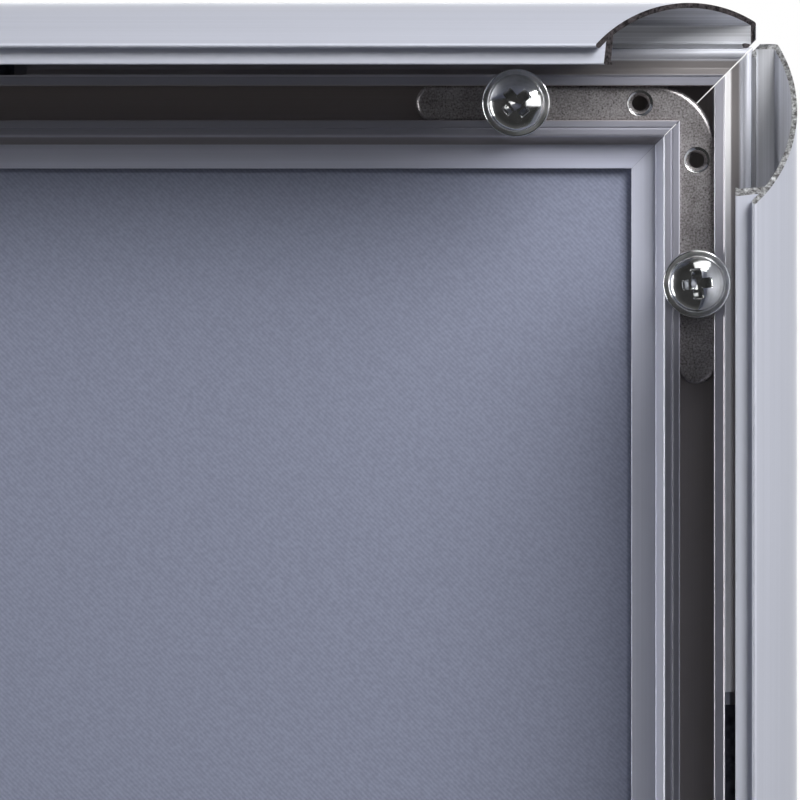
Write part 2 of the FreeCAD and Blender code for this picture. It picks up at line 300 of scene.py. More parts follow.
def rounded(corners, steps):
    """Closed outline of rounded corners, and the place in it where each corner starts.

    A corner is (inset, height, reach). From reach before it to reach after it runs the arc that
    touches both sides: the rational quadratic curve through start, corner and end, with the
    corner weighted by the cosine of half the turn. Two arcs that would meet share their side in
    proportion, and a corner with no reach stays one point.
    """
    most_of_side = 0.999
    least_reach = 1e-9
    corners = np.asarray(corners, float)
    points = corners[:, :2]
    before = np.roll(points, 1, axis=0) - points
    after = np.roll(points, -1, axis=0) - points
    after_length = np.linalg.norm(after, axis=1)
    reach = corners[:, 2]
    wanted = np.maximum(reach + np.roll(reach, -1), least_reach)
    fitting = np.minimum(1, most_of_side * after_length / wanted)
    reach = reach * np.minimum(fitting, np.roll(fitting, 1))
    before /= np.linalg.norm(before, axis=1)[:, None]
    after /= after_length[:, None]
    start = (points + before * reach[:, None])[:, None]
    end = (points + after * reach[:, None])[:, None]
    weight = np.sqrt((1 - np.sum(before * after, axis=1)) / 2)[:, None, None]
    share = np.linspace(0, 1, steps)[None, :, None]
    middle = 2 * weight * share * (1 - share)
    total = (1 - share) ** 2 + middle + share ** 2
    curves = ((1 - share) ** 2 * start + middle * points[:, None] + share ** 2 * end) / total
    keep = np.ones((len(corners), steps), bool)
    keep[reach == 0, 1:] = False
    first = np.concatenate([[0], np.cumsum(keep.sum(axis=1))[:-1]])
    return curves[keep], first


def arc(centre, radius, start, end, count):
    """Points of a circle from one angle to another in degrees, as corners with no rounding."""
    turn = np.radians(np.linspace(start, end, count))
    inset = centre[0] + radius * np.cos(turn)
    height = centre[1] + radius * np.sin(turn)
    return np.stack([inset, height, np.zeros(count)], 1)


def about_hinge(radius, start, end, count):
    """Arc about the hinge axis; 0 is outwards and 90 is forwards."""
    return arc((hinge_inset, hinge_height), radius, 180 - start, 180 - end, count)


def circle_through(first, second, third):
    """Centre and radius of a circle: the point at equal distance from three points."""
    points = np.array([first, second, third], float)
    sums = np.sum(points ** 2, axis=1)
    centre = np.linalg.solve(2 * (points[1:] - points[0]), sums[1:] - sums[0])
    return centre, np.linalg.norm(points[0] - centre)


def base_outline():
    """Outline of a base rail, and the places in it that the window and the wall holes cut."""
    channel_outer = slot_outer_edge - channel_margin
    channel_inner = slot_inner_edge + channel_margin
    groove_end = channel_inner + panel_wall
    pocket_inner = channel_outer - channel_wall
    pocket_outer = base_setback + pocket_wall
    lip_back = lip_front - lip_thickness
    line_middle = (slot_inner_edge + lip_inner_edge) / 2
    rib_edge = lip_outer_edge + rib_width
    neck_top = hinge_height + neck_above_axis
    neck_back = hinge_height - neck_below_axis
    bead_start = 180 - math.degrees(math.asin(neck_above_axis / bead_radius))
    bead_end = math.degrees(math.asin(neck_below_axis / bead_radius)) - 180
    window_edge = hinge_inset + bead_radius + window_margin
    flange_front = flange_back + flange_thickness
    inside = [
        (base_setback, 0, back_round),
        (flange_edge, 0, back_round),
        (flange_edge, back_web, back_round),
        (groove_end, back_web, hidden_round),
        (groove_end, flange_back, hidden_round),
        (flange_edge, flange_back, flange_round),
        (flange_edge, flange_front, flange_round),
        (poster_stop, flange_front, stop_foot_round),
        (lip_inner_edge, lip_front, stop_round),
        (line_middle + lip_line_width / 2, lip_front, line_round),
        (line_middle, lip_front - lip_line_depth, line_floor_round),
        (line_middle - lip_line_width / 2, lip_front, line_round),
        (slot_inner_edge, lip_front, slot_round),
        (slot_inner_edge, lip_back, hidden_round),
        (channel_inner, lip_back, hidden_round),
        (channel_inner, back_web, back_round),
    ]
    outside = [
        (channel_outer, back_web, back_round),
        (channel_outer, lip_back, hidden_round),
        (slot_outer_edge, lip_back, hidden_round),
        (slot_outer_edge, lip_front - rib_rise, slot_round),
        (rib_edge + rib_rise, lip_front - rib_rise, line_round),
        (rib_edge, lip_front, rib_round),
        (lip_outer_edge, lip_front, lip_round),
        (flank_foot, neck_top, flank_round),
        (window_edge, neck_top, 0),
    ]
    bead = about_hinge(bead_radius, bead_start, bead_end, count=30)
    pocket = [
        (window_edge, neck_back, 0),
        (lip_outer_edge, neck_back, 0),
        (pocket_inner, neck_back, hidden_round),
        (pocket_inner, back_web, pocket_round),
        (pocket_outer, back_web, pocket_round),
        (pocket_outer, pocket_wall_height, pocket_round),
        (base_setback, pocket_wall_height, pocket_round),
    ]
    outline, first = rounded(np.vstack([inside, outside, bead, pocket]), corner_points)
    window_top = len(inside) + len(outside) - 1
    window_back = window_top + 1 + len(bead)
    cuts = {
        "back": first[1] - 1,
        "floor": first[len(inside)] - 1,
        "window_front": np.arange(first[window_top - 2], first[window_top] + 1),
        "window_back": np.arange(first[window_back], first[window_back + 1] + 1),
    }
    return outline, cuts


def snap_outline():
    """Outline of a closed snap rail, and the places in it where the hook and the leg start.

    It runs over the arched cover, round the bead, under the arch and down and up the leg. On the
    outer wall it has a point where the closed and the open mitre plane cross.
    """
    tip, crown, shoulder = (rail_width, tip_height), (screw_line, cover_height), (0, shoulder_height)
    centre, radius = circle_through(tip, crown, shoulder)
    inner_radius = radius - cover_wall

    def angle_at(circle_radius, inset):
        """Angle in degrees at which a circle about the arch's centre has an inset."""
        return math.degrees(math.acos((inset - centre[0]) / circle_radius))

    def point_at(circle_radius, angle):
        """Point of a circle about the arch's centre."""
        turn = math.radians(angle)
        return centre + circle_radius * np.array([math.cos(turn), math.sin(turn)])

    hook_inner = bead_radius + hook_clearance
    hook_outer = hook_inner + hook_wall
    wall_angle = math.degrees(math.acos((hinge_inset - cover_wall) / hook_outer))
    tip_angle = angle_at(radius, rail_width)
    tip_centre = point_at(radius - cover_wall / 2, tip_angle)
    round_angle = angle_at(radius - shoulder_round, shoulder_round)
    round_centre = point_at(radius - shoulder_round, round_angle)
    gap_difference = open_mitre_gap - closed_mitre_gap
    mitre_turn = hinge_height + hinge_inset * math.tan(open_angle / 2)
    mitre_turn += gap_difference / math.sin(open_angle)
    wall_inner_angle = angle_at(inner_radius, cover_wall)
    leg_outer_angle = angle_at(inner_radius, leg_outer)
    leg_inner_angle = angle_at(inner_radius, leg_inner)
    leg_length = point_at(inner_radius, leg_outer_angle)[1] - foot_height
    flare_lean = leg_lean * (1 - foot_flare_height / leg_length)
    outside = np.vstack([
        arc(centre, radius, tip_angle, round_angle, count=72)[:-1],
        arc(round_centre, shoulder_round, round_angle, 180, count=7),
        [(0, mitre_turn, 0)],
    ])
    inside = np.vstack([
        about_hinge(hook_outer, 0, hook_back_angle, count=14),
        about_hinge(hook_inner, hook_back_angle, hook_front_angle, count=26),
        about_hinge(hook_outer, hook_front_angle, wall_angle, count=7),
        arc(centre, inner_radius, wall_inner_angle, leg_outer_angle, count=60),
    ])
    leg = np.vstack([
        [(leg_outer + flare_lean, foot_height + foot_flare_height, foot_round),
         (leg_outer + leg_lean - foot_flare, foot_height, foot_round),
         (leg_inner + leg_lean, foot_height, foot_inner_round)],
        arc(centre, inner_radius, leg_inner_angle, tip_angle, count=6)[:-1],
        arc(tip_centre, cover_wall / 2, tip_angle - 180, tip_angle, count=9)[:-1],
    ])
    outline = rounded(np.vstack([outside, inside, leg]), corner_points)[0]
    return outline, len(outside), len(outside) + len(inside) - 1


# Meshes

def swung(first, second, turn):
    """Two coordinates turned by an angle in radians, from the first axis towards the second."""
    cosine, sine = math.cos(turn), math.sin(turn)
    return first * cosine - second * sine, first * sine + second * cosine


def turned(points, angle):
    """Points made for the top side, turned about Y to their own side."""
    x, y, z = np.moveaxis(points, -1, 0)
    z, x = swung(z, x, math.radians(angle))
    return np.stack([x, y, z], -1)


def on_top_side(along, inset, height, offset):
    """Points of the top side: along X, inwards from the outer face, forwards from the back."""
    return np.stack(np.broadcast_arrays(along, -height, offset - inset), -1)


def strips(rings, size, start=0):
    """Quads between neighbouring rings of equal size, as an array of rings, places and corners."""
    ring = np.arange(rings - 1)[:, None] * size + start
    place = np.arange(size)[None, :]
    following = (place + 1) % size
    return np.stack([ring + place, ring + following, ring + size + following, ring + size + place], -1)


def listed(quads):
    """An array of quads as a list of faces."""
    return quads.reshape(-1, 4).tolist()


def end_faces(rings, size):
    """The first and the last ring as faces."""
    last = (rings - 1) * size
    return [list(range(size)), list(range(last, last + size))]


def count_points(parts):
    """Number of points in a list of arrays."""
    return sum(len(part) for part in parts)


def rim_halves(rim):
    """Halves of a hole's rim: from a quarter to three quarters of a turn, and the rest."""
    quarter = hole_sides // 4
    return rim[quarter:3 * quarter + 1], np.concatenate([rim[3 * quarter:], rim[:quarter + 1]])


def placed(name, data):
    """A new object of the scene."""
    thing = bpy.data.objects.new(name, data)
    scene.collection.objects.link(thing)
    return thing


def make_piece(name, body, node, points, parts):
    """One closed piece in place of a node, from pairs of a finish and the faces that take it."""
    sharp_angle = 40.0
    faces = [face for finish, part in parts for face in part]
    finish_numbers = np.repeat(np.arange(len(parts)), [len(part) for finish, part in parts])
    mesh = bpy.data.meshes.new(name)
    mesh.from_pydata((np.concatenate(points) * MM).tolist(), [], faces)
    for finish, part in parts:
        mesh.materials.append(finish)
    mesh.polygons.foreach_set("material_index", finish_numbers)
    shell = bmesh.new()
    shell.from_mesh(mesh)
    bmesh.ops.recalc_face_normals(shell, faces=shell.faces)
    shell.to_mesh(mesh)
    shell.free()
    mesh.shade_smooth()
    mesh.set_sharp_from_angle(angle=math.radians(sharp_angle))
    piece = placed(name, mesh)
    weighting = piece.modifiers.new("even_flats", "WEIGHTED_NORMAL")
    weighting.keep_sharp = True
    weighting.weight = 100
    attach(piece, body)
    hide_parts(node)


def window_faces(near, far, size, cuts):
    """Walls of one spring window between two rings: its ends, and its long sides in each stretch."""
    front, back = cuts["window_front"], cuts["window_back"]
    end_wall = np.concatenate([front, back])
    faces = [(ring * size + end_wall).tolist() for ring in (near, far)]
    for ring in range(near, far):
        for one, other in ((front[0], back[-1]), (front[-1], back[0])):
            wall = ring * size + np.array([one, one + size, other + size, other])
            faces.append(wall.tolist())
    return faces


def wall_hole_faces(stretch, size, cuts, rim):
    """Floor and back faces round one wall hole, each as two halves, and the bore between them.

    rim is the number of the first rim point. A rim starts at the far end and turns inwards.
    """
    near, far = stretch * size, (stretch + 1) * size
    edges = ((cuts["floor"], cuts["floor"] + 1), (cuts["back"] + 1, cuts["back"]))
    faces = []
    for level, (inner, outer) in enumerate(edges):
        near_half, far_half = rim_halves(rim + level * hole_sides + np.arange(hole_sides))
        faces.append([near + inner, near + outer, *near_half[::-1].tolist()])
        faces.append([near + outer, far + outer, far + inner, near + inner, *far_half[::-1].tolist()])
    return faces + listed(strips(2, hole_sides, rim))


def base_rail(name, finish):
    """Base rail: its outline carried between the mitre planes, with windows and wall holes.

    The end of each line of the rail lies at half the side's length less its inset and a gap that
    narrows inwards. Between the ends the outline stops at each edge of a window or hole.
    """
    side = sides[name]
    outline, cuts = base_outline()
    size = len(outline)
    inset, height = outline.T
    gap = np.interp(inset, [0, flange_edge], [mitre_gap_outside, mitre_gap_inside])
    end = side.half_length - inset - gap
    window_reach = spring_length / 2 + window_overrun
    windows = []
    for spring in side.springs:
        low, high = node_box("leaf_spring_" + spring)
        middle = turned((low + high) / 2, -side.angle)[0]
        windows.append((middle - window_reach, middle + window_reach))
    spacing = wall_holes["spacing_y_mm"] / 2
    hole_places = [-spacing, spacing] if side.along == upright else []
    holes = [(place - wall_hole_patch / 2, place + wall_hole_patch / 2) for place in hole_places]
    stops = sorted({stop for pair in windows + holes for stop in pair})
    along = np.vstack([-end, *[np.full(size, stop) for stop in stops], end])
    points = [on_top_side(along, inset, height, side.offset).reshape(-1, 3)]
    quads = strips(len(along), size)
    keep = np.ones(quads.shape[:2], bool)
    extra = []
    for low, high in windows:
        near, far = stops.index(low) + 1, stops.index(high) + 1
        keep[near:far, cuts["window_front"][:-1]] = False
        keep[near:far, cuts["window_back"][:-1]] = False
        extra += window_faces(near, far, size, cuts)
    rim_inset = screw_line + wall_holes["hole_r_mm"] * np.sin(hole_turns)
    for place, (low, high) in zip(hole_places, holes):
        stretch = stops.index(low) + 1
        keep[stretch, [cuts["floor"], cuts["back"]]] = False
        rim_along = place + wall_holes["hole_r_mm"] * np.cos(hole_turns)
        extra += wall_hole_faces(stretch, size, cuts, count_points(points))
        for level in (back_web, 0.0):
            points.append(on_top_side(rim_along, rim_inset, np.full(hole_sides, level), side.offset))
    parts = [(finish.base, quads[keep].tolist() + extra), (finish.cut, end_faces(len(along), size))]
    points = [turned(part, side.angle) for part in points]
    make_piece("base_extrusion_" + name, "frame", "base_rail_" + name, points, parts)


def snap_rail(name, finish):
    """Snap rail: its closed outline swung open about the hinge and carried between the mitres.

    Each line ends at half the side's length less the larger of its insets when closed and when
    open, each with a gap, so that the rail clears its neighbours in both places.
    """
    side = sides[name]
    closed, hook_start, leg_start = snap_outline()
    inwards, forwards = swung(*(closed - [hinge_inset, hinge_height]).T, open_angle)
    inset, height = hinge_inset + inwards, hinge_height + forwards
    end = side.half_length - np.maximum(closed[:, 0] + closed_mitre_gap, inset + open_mitre_gap)
    points = on_top_side(np.vstack([-end, end]), inset, height, side.offset).reshape(-1, 3)
    points = [turned(points, side.angle)]
    faces = listed(strips(2, len(closed)))
    parts = [
        (finish.cover, faces[:hook_start]),
        (finish.inside, faces[hook_start:leg_start]),
        (finish.leg, faces[leg_start:]),
        (finish.cut, end_faces(2, len(closed))),
    ]
    make_piece("snap_extrusion_" + name, name + "_rail", "snap_rail_" + name, points, parts)


def leaf_spring(name, side, finish):
    """Spring strip: a rounded flat section carried along the arc of a bow.

    A point at height w of the section and angle a of the bow, of radius R, lies (R + w) sin a
    along the side and (R + w) cos a forwards.
    """
    node = "leaf_spring_" + name
    low, high = np.sort(turned(np.array(node_box(node)), -side.angle), axis=0)
    inset_from, inset_to = side.offset - high[2], side.offset - low[2]
    rise = high[1] - low[1] - spring_thickness
    half = spring_length / 2
    radius = (half ** 2 + rise ** 2) / (2 * rise)
    reach = spring_thickness * spring_edge_share
    corners = [
        (inset_from, 0, reach), (inset_to, 0, reach),
        (inset_to, spring_thickness, reach), (inset_from, spring_thickness, reach),
    ]
    inset, lift = rounded(corners, corner_points)[0].T
    sweep = math.asin(half / radius)
    turn = np.linspace(-sweep, sweep, spring_points)[:, None]
    along = (low[0] + high[0]) / 2 + (radius + lift) * np.sin(turn)
    height = back_web + (radius + lift) * np.cos(turn) - (radius - rise)
    points = [turned(on_top_side(along, inset, height, side.offset).reshape(-1, 3), side.angle)]
    size = len(inset)
    faces = listed(strips(spring_points, size)) + end_faces(spring_points, size)
    make_piece("spring_strip_" + name, "frame", node, points, [(finish, faces)])


def bracket_outline():
    """Outline of the angle plate, from its outer corner along one leg and back along the other."""
    low, high = node_box("corner_bracket_top_right")
    leg = high[0] - low[0]
    wide = bracket_width
    corners = [
        (0, 0, bracket_corner_round),
        (first_hole, 0, 0), (second_hole, 0, 0),
        (leg, 0, wide / 2), (leg, wide, wide / 2),
        (second_hole, wide, 0), (first_hole, wide, 0),
        (wide, wide, bracket_inner_round),
        (wide, first_hole, 0), (wide, second_hole, 0),
        (wide, leg, wide / 2), (0, leg, wide / 2),
        (0, second_hole, 0), (0, first_hole, 0),
    ]
    return rounded(corners, steps=15)


def bracket_faces(first, size, rims, level):
    """Flat faces of one side of the plate, cut at the holes into the corner, middles and ends.

    first says where each corner of the outline starts, and rims where the rim of each hole does:
    near and far hole of one leg, then of the other. A rim turns from the leg's end towards the
    plate's inner edge, so the first of its halves faces the corner and the second the end.
    """
    base = level * size

    def run(start, end):
        """Points of the outline from one of its corners to another."""
        return (base + np.arange(first[start], first[end] + 1)).tolist()

    def halves(rim, step):
        """Both halves of a rim, forwards or backwards."""
        return [half[::step].tolist() for half in rim_halves(rim + np.arange(hole_sides))]

    steps = (-1, -1, 1, 1)
    near_one, far_one, near_two, far_two = [halves(rim, step) for rim, step in zip(rims, steps)]
    corner_run = (base + np.arange(first[13], size)).tolist() + run(0, 1)
    return [
        corner_run + near_one[0] + run(6, 8) + near_two[0],
        run(1, 2) + far_one[0] + run(5, 6) + near_one[1],
        run(2, 5) + far_one[1],
        run(8, 9) + far_two[0] + run(12, 13) + near_two[1],
        run(9, 12) + far_two[1],
    ]


def plate_edge(outline, thickness):
    """Rings of the angle plate's edge from its back to its front.

    Where the edge rounds over by an angle a, it lies r (1 - sin a) inside the outline and
    r (1 - cos a) away from the face.
    """
    along = np.roll(outline, -1, axis=0) - np.roll(outline, 1, axis=0)
    inwards = np.stack([-along[:, 1], along[:, 0]], 1) / np.linalg.norm(along, axis=1)[:, None]
    turn = np.linspace(0, np.pi / 2, num=6)
    depth = bracket_edge_round * (1 - np.sin(turn))
    rise = bracket_edge_round * (1 - np.cos(turn))
    depth = np.concatenate([depth, depth[::-1]])
    rise = np.concatenate([rise, thickness - rise[::-1]])
    flat = outline[None] + inwards[None] * depth[:, None, None]
    return np.dstack([flat, np.broadcast_to(rise[:, None], flat.shape[:2])])


def hole_wall(thickness):
    """Levels of a tapped hole from back to front, and its radius at each level and turn.

    The radius is the hole's own plus a chamfer at each mouth, less a thread: a wave of
    h / pitch - turn that fades at the mouths.
    """
    levels = np.linspace(0, thickness, hole_levels)[:, None]
    from_mouth = np.minimum(levels, thickness - levels)
    mouth = np.maximum(hole_chamfer - from_mouth, 0)
    wave = np.abs((levels / thread_pitch - hole_turns / (2 * np.pi)) % 1 * 2 - 1)
    fade = np.clip(from_mouth / hole_chamfer, 0, 1)
    return levels, hole_radius + mouth - thread_depth * wave * fade * (1 - mouth / hole_chamfer)


def corner_bracket(corner, sign_x, sign_z, finish, rim_finish):
    """Angle plate: its rounded edge and flat faces, and four tapped holes with bright rims.

    The hole of each leg that takes no screw narrows evenly towards the back.
    """
    node = "corner_bracket_" + corner
    low, high = node_box(node)
    thickness = high[1] - low[1]
    outline, first = bracket_outline()
    size = len(outline)
    edge = plate_edge(outline, thickness)
    levels, radius = hole_wall(thickness)
    narrowed = radius - empty_hole_taper * (1 - levels / thickness)
    middle = (levels[1:, 0] + levels[:-1, 0]) / 2
    at_mouth = np.minimum(middle, thickness - middle) < hole_chamfer
    parts = [edge.reshape(-1, 3)]
    faces = listed(strips(len(edge), size))
    starts, rims = [], []
    for leg in (0, 1):
        for place, wall in ((first_hole, narrowed), (second_hole, radius)):
            starts.append(count_points(parts))
            run = place + wall * np.cos(hole_turns)
            aside = bracket_width / 2 + wall * np.sin(hole_turns)
            pair = (run, aside) if leg == 0 else (aside, run)
            parts.append(np.dstack([*pair, levels + 0 * run]).reshape(-1, 3))
            bore = strips(hole_levels, hole_sides, starts[-1])
            rims += listed(bore[at_mouth])
            faces += listed(bore[~at_mouth])
    last = hole_sides * (hole_levels - 1)
    faces += bracket_faces(first, size, starts, 0)
    faces += bracket_faces(first, size, [start + last for start in starts], len(edge) - 1)
    outer = np.where([sign_x > 0, True, sign_z > 0], high, low)
    points = [outer - part[:, [0, 2, 1]] * [sign_x, 1, sign_z] for part in parts]
    make_piece("angle_plate_" + corner, "frame", node, points,
               [(finish, faces), (rim_finish, rims)])


def screw_profile(turn):
    """Radius and height of the screw outside its dome, at each turn, from the dome to the tip.

    The shank carries a thread: its radius falls by a wave of height / pitch plus turn. Also gives
    the row where the flat of the collar starts.
    """
    round_inset = head_radius - head_round
    round_height = dome_base + math.sqrt((dome_radius - head_round) ** 2 - round_inset ** 2)
    start = math.degrees(math.atan2(round_height - dome_base, round_inset))
    rim = collar_thickness / 2
    shoulder = arc((round_inset, round_height), head_round, start, 0, count=8)
    head = np.vstack([
        shoulder,
        [(head_radius, collar_thickness + collar_fillet, 0),
         (head_radius + collar_fillet, collar_thickness, 0)],
        arc((collar_radius - rim, rim), rim, 90, collar_rim_end, count=8),
        [(collar_radius - rim, 0, 0), (shank_radius, 0, 0)],
    ])
    levels = np.linspace(-shank_neck, -shank_length, num=55)[:, None]
    wave = np.abs((levels / thread_pitch + turn / (2 * np.pi)) % 1 * 2 - 1)
    taper = np.clip((levels + shank_length) / thread_pitch, tip_least_share, 1)
    shank = (shank_radius - thread_depth * wave) * (1 - tip_narrowing * (1 - taper))
    all_round = np.zeros(len(turn))
    radius = np.vstack([head[:, :1] + all_round, shank])
    height = np.vstack([head[:, 1:2], levels]) + all_round
    return radius, height, len(shoulder) + 1


def head_surface(x, y):
    """Height of the screw's dome with its cross recess sunk into it.

    Along a wing the recess floor rises with the distance from the axis until it meets the dome;
    across a wing it fills the recess width, and a cone deepens the middle.
    """
    distance = np.hypot(x, y)
    dome = dome_base + np.sqrt(dome_radius ** 2 - distance ** 2)
    reach = np.maximum(np.abs(x), np.abs(y))
    aside = np.minimum(np.abs(x), np.abs(y))
    deepest = head_height - recess_depth
    shallowest = dome_base + math.sqrt(dome_radius ** 2 - wing_end ** 2)
    floor = np.interp(reach, [recess_floor_span / 2, wing_end], [deepest, shallowest])
    floor -= recess_cone_depth * np.clip(1 - distance / recess_cone_radius, 0, 1)
    wing = np.clip((recess_width / 2 + recess_edge - aside) / (2 * recess_edge), 0, 1)
    wing *= reach < wing_end
    middle = np.clip((recess_cone_radius + recess_edge - distance) / (2 * recess_edge), 0, 1)
    inside = np.maximum(wing, middle)
    inside = inside ** 2 * (3 - 2 * inside)
    return dome - inside * np.maximum(dome - floor, 0)


def collar_screw(start):
    """One screw on the axis: a square grid over the recess, a ring out to the dome's edge, then turns.

    The ring's points move in a straight line from the grid's edge to the circle where the dome
    ends. Returns the points, the faces and those of the collar's flat, numbered from start.
    """
    wall_inner = recess_width / 2 - recess_edge
    wall_outer = recess_width / 2 + recess_edge
    cuts = np.concatenate([
        np.linspace(0, wall_inner, num=4)[:-1],
        np.linspace(wall_inner, wall_outer, num=5),
        np.linspace(wall_outer, wing_end - recess_step, num=11)[1:],
        [wing_end + recess_step, wing_end + recess_edge],
    ])
    cuts = np.concatenate([-cuts[:0:-1], cuts])
    count = len(cuts)
    x, y = np.meshgrid(cuts, cuts, indexing="ij")
    grid = np.stack([x, y, head_surface(x, y)], -1).reshape(-1, 3)
    number = np.arange(count * count).reshape(count, count)
    quads = np.stack([number[:-1, :-1], number[1:, :-1], number[1:, 1:], number[:-1, 1:]], -1)
    border = np.concatenate([number[:-1, 0], number[-1, :-1], number[:0:-1, -1], number[0, :0:-1]])
    size = len(border)
    turn = np.arctan2(grid[border, 1], grid[border, 0])
    dome_edge = dome_radius * (head_radius - head_round) / (dome_radius - head_round)
    circle = dome_edge * np.stack([np.cos(turn), np.sin(turn)], 1)
    share = np.linspace(0, 1, num=7)[1:-1, None, None]
    ring = grid[border, :2] * (1 - share) + circle * share
    ring = np.dstack([ring, head_surface(ring[..., 0], ring[..., 1])])
    radius, height, collar_row = screw_profile(turn)
    body = np.dstack([radius * np.cos(turn), radius * np.sin(turn), height])
    outer = np.concatenate([ring, body]).reshape(-1, 3)
    points = np.concatenate([grid, outer])
    first = len(grid)
    rings = len(outer) // size
    following = np.roll(np.arange(size), -1)
    seam = np.stack([border, border[following], first + following, first + np.arange(size)], 1)
    around = strips(rings, size, first)
    on_collar = np.arange(rings - 1) == len(ring) + collar_row
    faces = np.concatenate([quads.reshape(-1, 4), seam, around[~on_collar].reshape(-1, 4)])
    tip = list(range(start + len(points) - size, start + len(points)))
    return points, listed(faces + start) + [tip], listed(around[on_collar] + start)


def bracket_screws(corner, sign_x, sign_z, finish, collar_finish):
    """The two collar screws of a corner, with their recesses turned as the screws were left."""
    place = second_hole + screw_line - bracket_width / 2
    spots = [
        (half_width - place, half_height - screw_line, recess_turn_across),
        (half_width - screw_line, half_height - place, recess_turn_upright),
    ]
    points, faces, collars = [], [], []
    for spot_x, spot_z, recess_turn in spots:
        screw, screw_faces, collar_faces = collar_screw(count_points(points))
        x, z = swung(screw[:, 0], screw[:, 1], math.radians(recess_turn))
        points.append(np.stack([sign_x * spot_x + x, -lip_front - screw[:, 2], sign_z * spot_z + z], 1))
        faces += screw_faces
        collars += collar_faces
    make_piece("collar_screws_" + corner, "frame", "bracket_screws_" + corner, points,
               [(finish, faces), (collar_finish, collars)])


# Finishes

def add_node(tree, kind, inputs, **settings):
    """A node with its settings; an input is linked where it is given a socket, and set otherwise."""
    node = tree.nodes.new(kind)
    for key, value in settings.items():
        setattr(node, key, value)
    for key, value in inputs.items():
        if isinstance(value, bpy.types.NodeSocket):
            tree.links.new(value, node.inputs[key])
        else:
            node.inputs[key].default_value = value
    return node


def new_finish(name, metallic):
    """A material with its node tree, its shader and the object's own coordinates."""
    material = bpy.data.materials.new(name)
    material.use_nodes = True
    tree = material.node_tree
    shader = tree.nodes["Principled BSDF"]
    shader.inputs["Metallic"].default_value = metallic
    place = add_node(tree, "ShaderNodeTexCoord", {}).outputs["Object"]
    return material, tree, shader, place


def noise(tree, place, scale, detail=2.0, stretch=(1, 1, 1)):
    """Noise of so many waves a metre, stretched along the axes."""
    mapping = add_node(tree, "ShaderNodeMapping", {"Vector": place, "Scale": stretch})
    inputs = {"Vector": mapping.outputs["Vector"], "Scale": scale, "Detail": detail}
    return add_node(tree, "ShaderNodeTexNoise", inputs).outputs["Fac"]


def spread(tree, value, low, high, from_low=0.3, from_high=0.7):
    """A texture's value moved to a range."""
    inputs = {"Value": value, "From Min": from_low, "From Max": from_high, "To Min": low, "To Max": high}
    return add_node(tree, "ShaderNodeMapRange", inputs).outputs["Result"]


def tones(tree, value, stops):
    """Colours along a texture's value, from (place, colour) stops."""
    ramp = add_node(tree, "ShaderNodeValToRGB", {"Fac": value})
    elements = ramp.color_ramp.elements
    while len(elements) < len(stops):
        elements.new(0.5)
    for element, (place, colour) in zip(elements, stops):
        element.position = place
        element.color = (*colour, 1)
    return ramp.outputs["Color"]


def shaded(colour, factor):
    """A colour made darker or lighter."""
    return tuple(channel * factor for channel in colour)


def around_colour(colour, change, reach):
    """Stops from a darker to a lighter shade of a colour, at equal distances from the middle."""
    darker, lighter = shaded(colour, 1 - change), shaded(colour, 1 + change)
    return [(0.5 - reach, darker), (0.5, colour), (0.5 + reach, lighter)]


def blend(tree, first, second, kind="ADD"):
    """Two values put together by one operation."""
    return add_node(tree, "ShaderNodeMath", {0: first, 1: second}, operation=kind).outputs["Value"]


def average(tree, first, second):
    """Mean of two values."""
    return blend(tree, blend(tree, first, second), 0.5, "MULTIPLY")


def dress(tree, shader, colour, roughness, height, depth, strength):
    """Gives a shader its colour, its roughness and a relief of a real depth in millimetres."""
    inputs = {"Height": height, "Distance": depth * MM, "Strength": strength}
    relief = add_node(tree, "ShaderNodeBump", inputs)
    tree.links.new(colour, shader.inputs["Base Color"])
    tree.links.new(roughness, shader.inputs["Roughness"])
    tree.links.new(relief.outputs["Normal"], shader.inputs["Normal"])


def painted_section_shading(tree, place, reach, across_axis, bands):
    """Painted shade and light: share of the colour by the inset of a place, from bands; the back keeps all of it.
    """
    parts = add_node(tree, "ShaderNodeSeparateXYZ", {"Vector": place}).outputs
    outwards = blend(tree, parts[across_axis], 0.0, "ABSOLUTE")
    inset = blend(tree, reach * MM, outwards, "SUBTRACT")
    share = blend(tree, inset, 1 / (rail_width * MM), "MULTIPLY")
    stops = [(edge / rail_width, tone) for start, end, tone in bands for edge in (start, end)]
    in_front = spread(tree, parts["Y"], 1, 0, -tone_full_height * MM, -tone_end_height * MM)
    inputs = {"Fac": in_front, "Color1": (*full_tone, 1), "Color2": tones(tree, share, stops)}
    return add_node(tree, "ShaderNodeMixRGB", inputs).outputs["Color"]


def anodised(name, colour, along, metallic, roughness, streak=0.04, reach=0, bands=()):
    """Satin anodised extrusion: fine die lines along the rail, and bands of painted shade and light across a base
    rail.
    """
    material, tree, shader, place = new_finish(name, metallic)
    stretch = [1.0, 1.0, 1.0]
    stretch[along] = 0.004
    fine_lines = noise(tree, place, scale=4200, detail=3, stretch=stretch)
    lines = average(tree, fine_lines, noise(tree, place, scale=900, stretch=stretch))
    cloud = noise(tree, place, scale=35)
    tone = tones(tree, lines, around_colour(colour, streak, reach=0.14))
    if bands:
        # Painted shade and light of the base rail's bands
        painted_shading = painted_section_shading(tree, place, reach, "Z" if along == across else "X", bands)
        scaled = add_node(tree, "ShaderNodeVectorMath", {0: tone, 1: painted_shading}, operation="MULTIPLY")
        tone = scaled.outputs["Vector"]
    rough = spread(tree, average(tree, lines, cloud), roughness - 0.05, roughness + 0.06)
    dress(tree, shader, tone, rough, lines, depth=0.004, strength=0.3)
    return material


